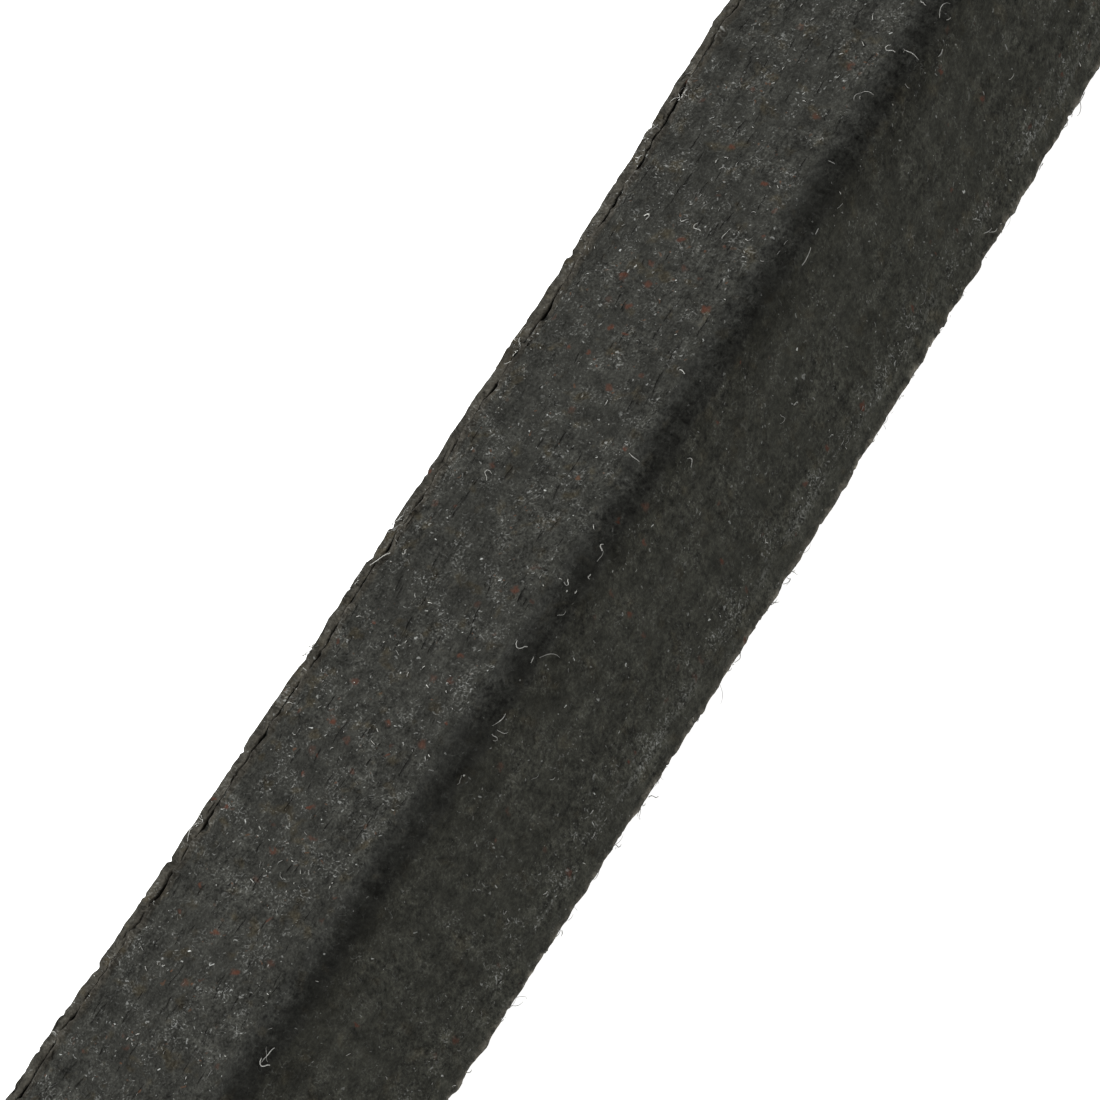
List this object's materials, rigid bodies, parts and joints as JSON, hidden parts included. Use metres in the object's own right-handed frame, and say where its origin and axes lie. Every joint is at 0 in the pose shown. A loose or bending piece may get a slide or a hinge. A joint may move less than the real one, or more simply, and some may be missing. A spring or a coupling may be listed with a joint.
{
  "type": "wrapped v-belt",
  "caption": "Endless fabric-wrapped V-belt with a wedge section, cord line and lapped cover cloth, lying on its side as a relaxed oval loop.",
  "frame": {"origin": "under the middle of the loop, on the surface the belt lies on", "axes": "+X along the long run of the loop, +Z across the belt's width, so that the loop lies flat; the back faces outwards all round"},
  "size_m": [0.433, 0.1628, 0.0123],
  "materials": {
    "cover_cloth": "rubberised bias-woven cotton and polyester cloth, dark grey, matt, with loose pale yarn ends",
    "inner_cover_cloth": "rubberised bias-woven cloth, matt",
    "cushion": "matt black moulded rubber",
    "upper_adhesion": "matt moulded rubber",
    "polyester_cord": "twisted cream polyester cord",
    "lower_adhesion": "matt moulded rubber",
    "compression": "matt black moulded rubber with short fibres"
  },
  "bodies": {
    "root": {"cover_outer": "cover_cloth", "cover_inner": "inner_cover_cloth", "cushion_rubber": "cushion", "adhesion_upper": "upper_adhesion", "tensile_cord": "polyester_cord", "adhesion_lower": "lower_adhesion", "compression_rubber": "compression"}
  },
  "joints": []
}
